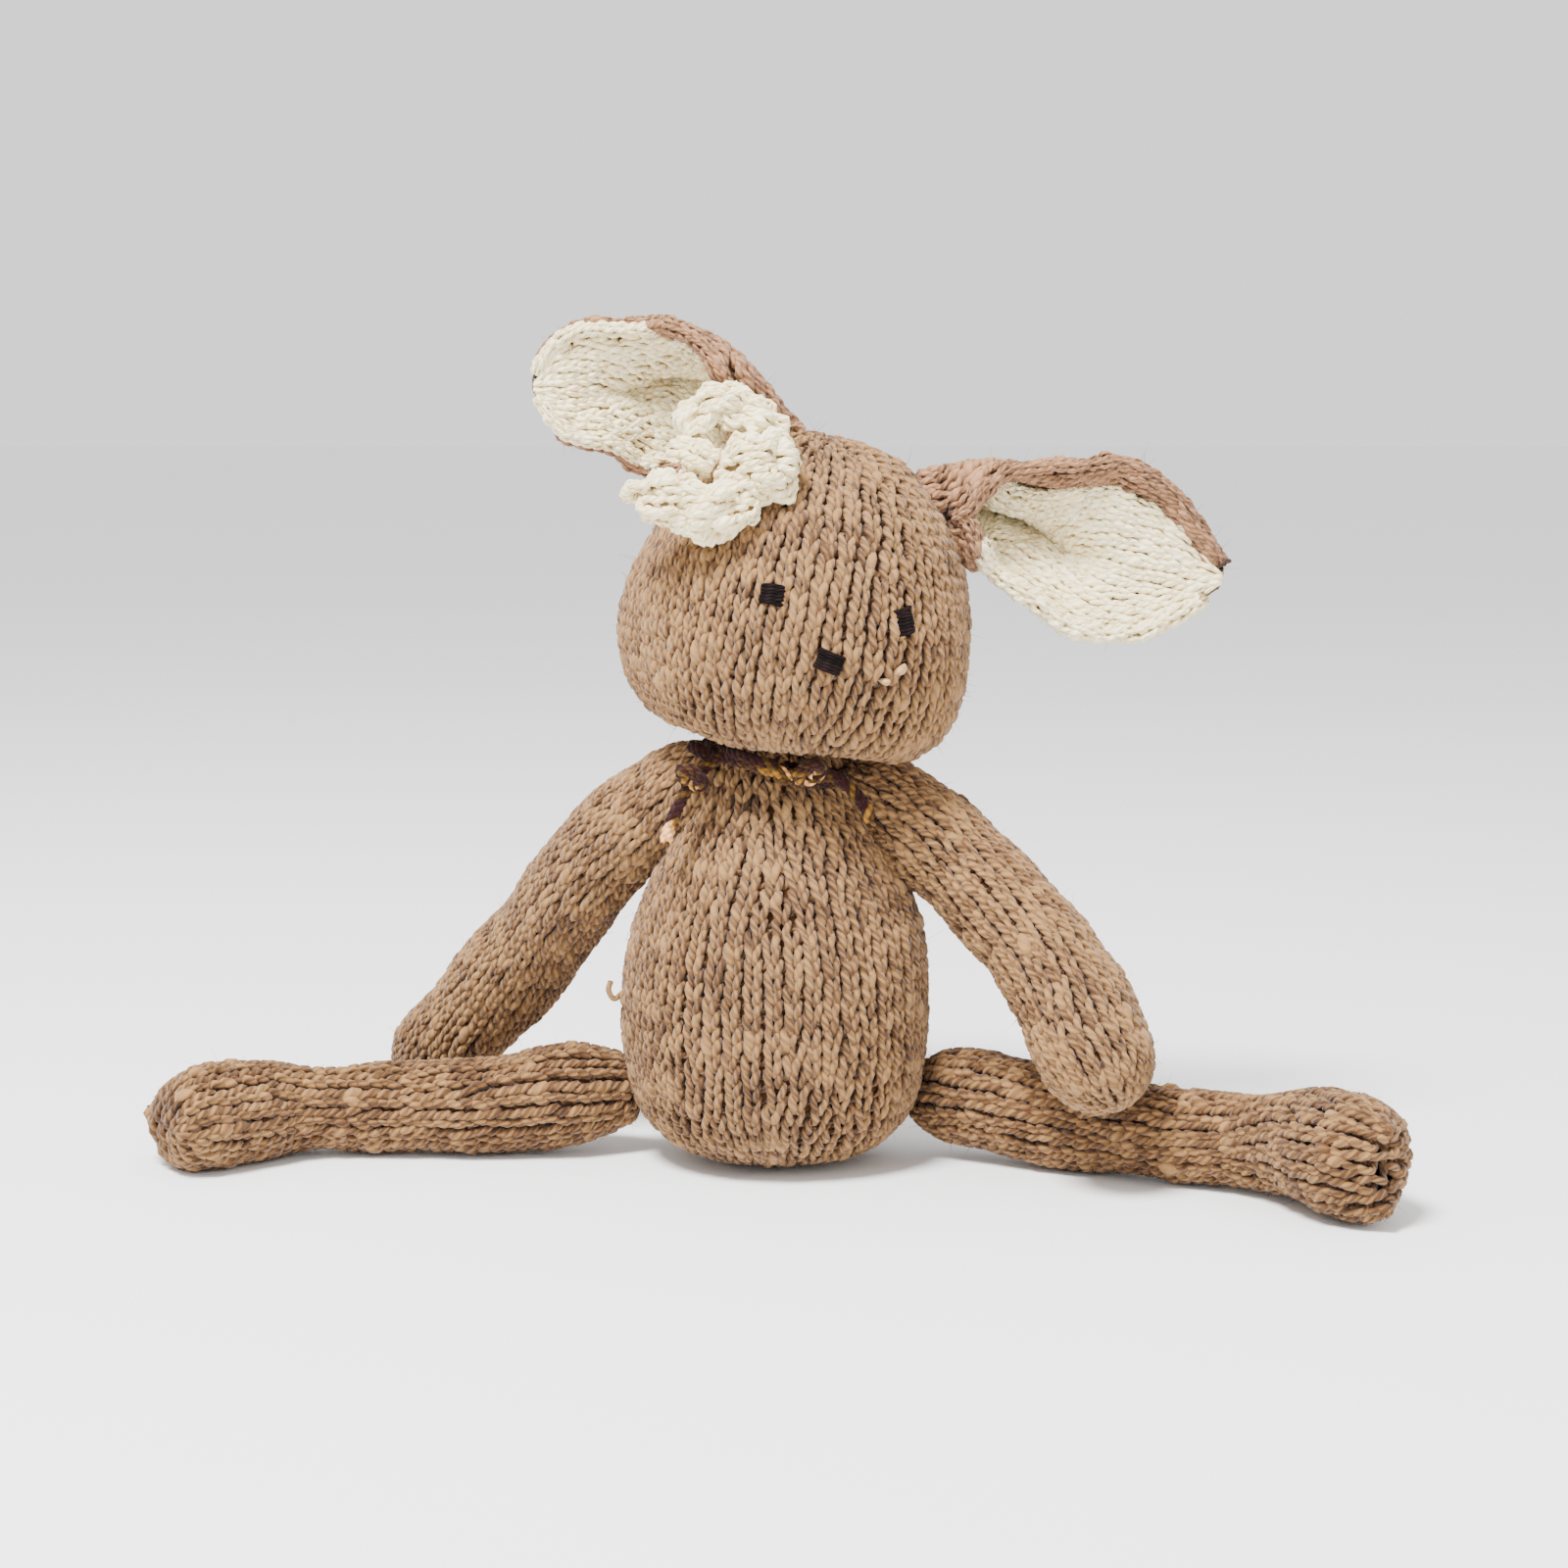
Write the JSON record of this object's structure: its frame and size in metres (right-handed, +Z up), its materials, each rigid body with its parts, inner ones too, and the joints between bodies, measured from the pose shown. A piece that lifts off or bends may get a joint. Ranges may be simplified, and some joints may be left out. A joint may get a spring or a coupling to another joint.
{
  "type": "stuffed bunny rabbit",
  "caption": "Hand-knitted stuffed rabbit sitting with its legs spread: egg-shaped body, pear-shaped head, floppy lined ears, knitted flower, satin-stitched face and yarn tied round the neck.",
  "frame": {"origin": "middle of the flat patch under the body that the rabbit sits on", "axes": "+Z up, the face looks along -Y, +X towards the right of somebody who looks at the face"},
  "size_m": [0.3355, 0.1477, 0.2334],
  "materials": {
    "tan_knit": "matte hand-knitted cotton, thick-and-thin yarn",
    "ear_tan_knit": "matte hand-knitted cotton, slightly pinker tan",
    "cream_knit": "matte hand-knitted natural cotton",
    "toy_filling": "loose fibre filling",
    "dark_thread": "satin-stitched embroidery yarn",
    "sewing_yarn": "matte sewing yarn",
    "variegated_yarn": "hand-dyed plied yarn, plum, olive gold, peach and cream"
  },
  "bodies": {
    "torso": {"body_knit": "tan_knit", "body_filling": "toy_filling", "neck_yarn_wrap": "variegated_yarn", "neck_yarn_tail_left": "variegated_yarn", "neck_yarn_tail_right": "variegated_yarn"},
    "neck_ring": {"neck_seam": "sewing_yarn"},
    "neck_core": {"neck_filling": "toy_filling"},
    "head": {"head_knit": "tan_knit", "head_filling": "toy_filling", "eye_left": "dark_thread", "eye_right": "dark_thread", "nose": "dark_thread", "flower_petal_top": "cream_knit", "flower_petal_right": "cream_knit", "flower_petal_left_middle": "cream_knit", "flower_petal_lower": "cream_knit", "flower_petal_left": "cream_knit", "flower_centre": "ear_tan_knit"},
    "shoulder_left": {"shoulder_left_stitches": "sewing_yarn", "shoulder_left_gather": "sewing_yarn"},
    "arm_left": {"arm_left_knit": "tan_knit", "arm_left_filling": "toy_filling"},
    "shoulder_right": {"shoulder_right_stitches": "sewing_yarn", "shoulder_right_gather": "sewing_yarn"},
    "arm_right": {"arm_right_knit": "tan_knit", "arm_right_filling": "toy_filling"},
    "hip_left": {"hip_left_stitches": "sewing_yarn"},
    "hip_left_core": {"hip_left_gather": "sewing_yarn"},
    "leg_left": {"leg_left_knit": "tan_knit", "leg_left_filling": "toy_filling"},
    "hip_right": {"hip_right_stitches": "sewing_yarn"},
    "hip_right_core": {"hip_right_gather": "sewing_yarn"},
    "leg_right": {"leg_right_knit": "tan_knit", "leg_right_filling": "toy_filling"},
    "ear_left_base": {"ear_left_stitches": "sewing_yarn"},
    "ear_left": {"ear_left_outer": "ear_tan_knit", "ear_left_lining": "cream_knit"},
    "ear_right_base": {"ear_right_stitches": "sewing_yarn"},
    "ear_right": {"ear_right_outer": "ear_tan_knit", "ear_right_lining": "cream_knit"}
  },
  "joints": [
    {"name": "head_turn", "type": "hinge", "parent": "torso", "child": "neck_ring", "pos_m": [0.001, 0, 0.117], "axis": [0, 0, 1], "range_deg": [-35, 35]},
    {"name": "head_nod", "type": "hinge", "parent": "neck_ring", "child": "neck_core", "pos_m": [0.001, 0, 0.117], "axis": [1, 0, 0], "range_deg": [-14, 5]},
    {"name": "head_tilt", "type": "hinge", "parent": "neck_core", "child": "head", "pos_m": [0.001, 0, 0.117], "axis": [0, 1, 0], "range_deg": [-10, 1]},
    {"name": "arm_left_swing", "type": "hinge", "parent": "torso", "child": "shoulder_left", "pos_m": [-0.0294, 0.002, 0.1016], "axis": [1, 0, 0], "range_deg": [-3, 60]},
    {"name": "arm_left_raise", "type": "hinge", "parent": "shoulder_left", "child": "arm_left", "pos_m": [-0.0294, 0.002, 0.1016], "axis": [0, 1, 0], "range_deg": [0, 80]},
    {"name": "arm_right_swing", "type": "hinge", "parent": "torso", "child": "shoulder_right", "pos_m": [0.0296, -0.001, 0.1016], "axis": [1, 0, 0], "range_deg": [-55, 2]},
    {"name": "arm_right_raise", "type": "hinge", "parent": "shoulder_right", "child": "arm_right", "pos_m": [0.0296, -0.001, 0.1016], "axis": [0, 1, 0], "range_deg": [-38, 0]},
    {"name": "leg_left_splay", "type": "hinge", "parent": "torso", "child": "hip_left", "pos_m": [-0.0458, 0.005, 0.0195], "axis": [0, 0, 1], "range_deg": [-1, 60]},
    {"name": "leg_left_lift", "type": "hinge", "parent": "hip_left", "child": "hip_left_core", "pos_m": [-0.0458, 0.005, 0.0195], "axis": [0, 1, 0], "range_deg": [0, 30]},
    {"name": "leg_left_twist", "type": "hinge", "parent": "hip_left_core", "child": "leg_left", "pos_m": [-0.0458, 0.005, 0.0195], "axis": [-0.9938, 0.0905, -0.0644], "range_deg": [-3, 95]},
    {"name": "leg_right_splay", "type": "hinge", "parent": "torso", "child": "hip_right", "pos_m": [0.0458, 0.003, 0.0195], "axis": [0, 0, 1], "range_deg": [-1, 45]},
    {"name": "leg_right_lift", "type": "hinge", "parent": "hip_right", "child": "hip_right_core", "pos_m": [0.0458, 0.003, 0.0195], "axis": [0, 1, 0], "range_deg": [-6, 0]},
    {"name": "leg_right_twist", "type": "hinge", "parent": "hip_right_core", "child": "leg_right", "pos_m": [0.0458, 0.003, 0.0195], "axis": [-0.9221, 0.382, 0.062], "range_deg": [-3, 95]},
    {"name": "ear_left_lift", "type": "hinge", "parent": "head", "child": "ear_left_base", "pos_m": [0.003, 0.007, 0.2032], "axis": [0, 1, 0], "range_deg": [-3, 60]},
    {"name": "ear_left_fold", "type": "hinge", "parent": "ear_left_base", "child": "ear_left", "pos_m": [0.003, 0.007, 0.2032], "axis": [0, 0, 1], "range_deg": [-60, 15]},
    {"name": "ear_right_lift", "type": "hinge", "parent": "head", "child": "ear_right_base", "pos_m": [0.0495, 0.005, 0.181], "axis": [0, 1, 0], "range_deg": [-60, 8]},
    {"name": "ear_right_fold", "type": "hinge", "parent": "ear_right_base", "child": "ear_right", "pos_m": [0.0495, 0.005, 0.181], "axis": [0, 0, 1], "range_deg": [-35, 60]}
  ]
}
